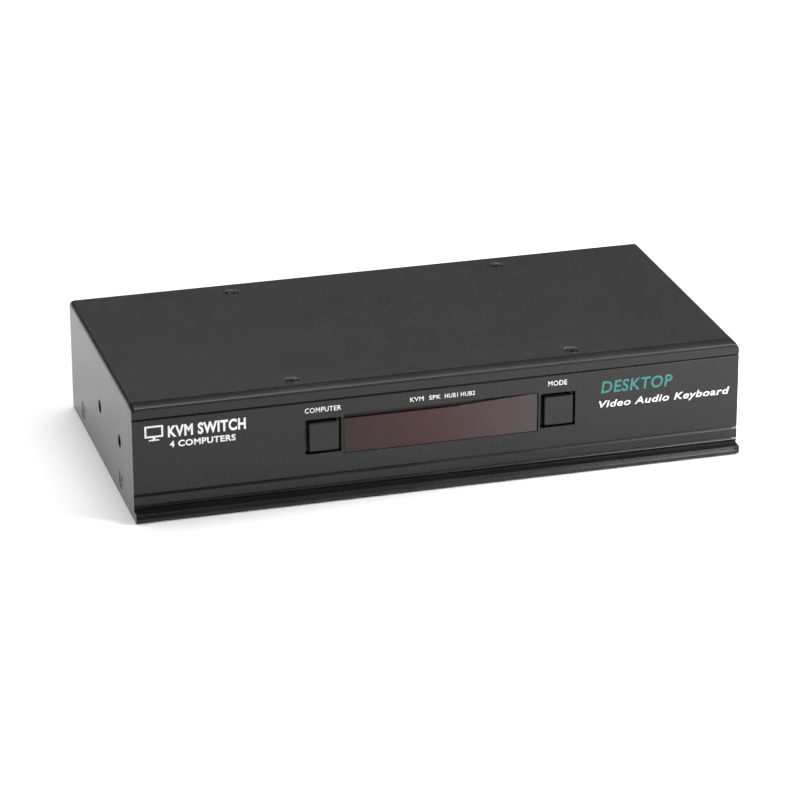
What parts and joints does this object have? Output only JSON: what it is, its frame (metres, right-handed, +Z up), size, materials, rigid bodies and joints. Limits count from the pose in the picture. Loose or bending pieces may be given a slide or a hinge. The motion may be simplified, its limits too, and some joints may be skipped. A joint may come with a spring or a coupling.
{
  "type": "kvm switch",
  "caption": "Low black desktop box that shares a screen, keyboard and mouse between several computers, with sprung front buttons and a tinted display window.",
  "frame": {"origin": "middle of the underside's bounding box, on the surface that the box stands on", "axes": "+X to the right as seen from the front, front facing -Y, +Z up"},
  "size_m": [0.27, 0.1414, 0.051],
  "materials": {
    "front_panel_paint": "satin black",
    "case_powder_coat": "fine-textured black powder coat",
    "window_acrylic": "glossy dark red tint",
    "button_plastic": "satin black",
    "black_screws": "black zinc",
    "zinc_steel": "zinc plated",
    "socket_shell": "nickel plated",
    "board_laminate": "green solder mask",
    "black_moulding": "matt black",
    "white_moulding": "matt white",
    "heat_sink_aluminium": "satin",
    "cable_grey": "grey insulation"
  },
  "bodies": {
    "case": {"front_panel": "front_panel_paint", "display_window": "window_acrylic", "computer_switch": "black_moulding", "mode_switch": "black_moulding", "top_cover": "case_powder_coat", "base_tray": "case_powder_coat", "cover_screw_1": "black_screws", "side_screw_1": "black_screws", "board_screw_1": "zinc_steel", "board_spacer_1": "zinc_steel", "bracket_nut_1": "zinc_steel", "cover_screw_2": "black_screws", "side_screw_2": "black_screws", "board_screw_2": "zinc_steel", "board_spacer_2": "zinc_steel", "bracket_nut_2": "zinc_steel", "cover_screw_3": "black_screws", "side_screw_3": "black_screws", "board_screw_3": "zinc_steel", "board_spacer_3": "zinc_steel", "bracket_nut_3": "zinc_steel", "cover_screw_4": "black_screws", "side_screw_4": "black_screws", "board_screw_4": "zinc_steel", "board_spacer_4": "zinc_steel", "bracket_nut_4": "zinc_steel", "panel_screw_1": "zinc_steel", "front_board_screw_1": "zinc_steel", "panel_screw_2": "zinc_steel", "front_board_screw_2": "zinc_steel", "video_socket_console": "socket_shell", "usb_socket_console": "socket_shell", "audio_socket_console": "black_moulding", "video_socket_computer_1": "socket_shell", "usb_socket_computer_1": "socket_shell", "audio_socket_computer_1": "black_moulding", "video_socket_computer_2": "socket_shell", "usb_socket_computer_2": "socket_shell", "audio_socket_computer_2": "black_moulding", "video_socket_computer_3": "socket_shell", "usb_socket_computer_3": "socket_shell", "audio_socket_computer_3": "black_moulding", "video_socket_computer_4": "socket_shell", "usb_socket_computer_4": "socket_shell", "audio_socket_computer_4": "black_moulding", "power_socket": "black_moulding", "options_socket": "black_moulding", "main_board": "board_laminate", "video_board": "board_laminate", "front_board": "board_laminate", "display_module": "black_moulding", "switch_chip": "black_moulding", "heat_sink": "heat_sink_aluminium", "board_link": "black_moulding", "ribbon_cable": "cable_grey"},
    "computer_key": {"computer_button": "button_plastic", "computer_plunger": "white_moulding"},
    "mode_key": {"mode_button": "button_plastic", "mode_plunger": "white_moulding"}
  },
  "joints": [
    {"name": "computer_press", "type": "slide", "parent": "case", "child": "computer_key", "axis": [0, 1, 0], "range_m": [0, 0.0006], "stiffness_N_per_m": 400, "springref_m": -0.003},
    {"name": "mode_press", "type": "slide", "parent": "case", "child": "mode_key", "axis": [0, 1, 0], "range_m": [0, 0.0006], "stiffness_N_per_m": 400, "springref_m": -0.003}
  ]
}
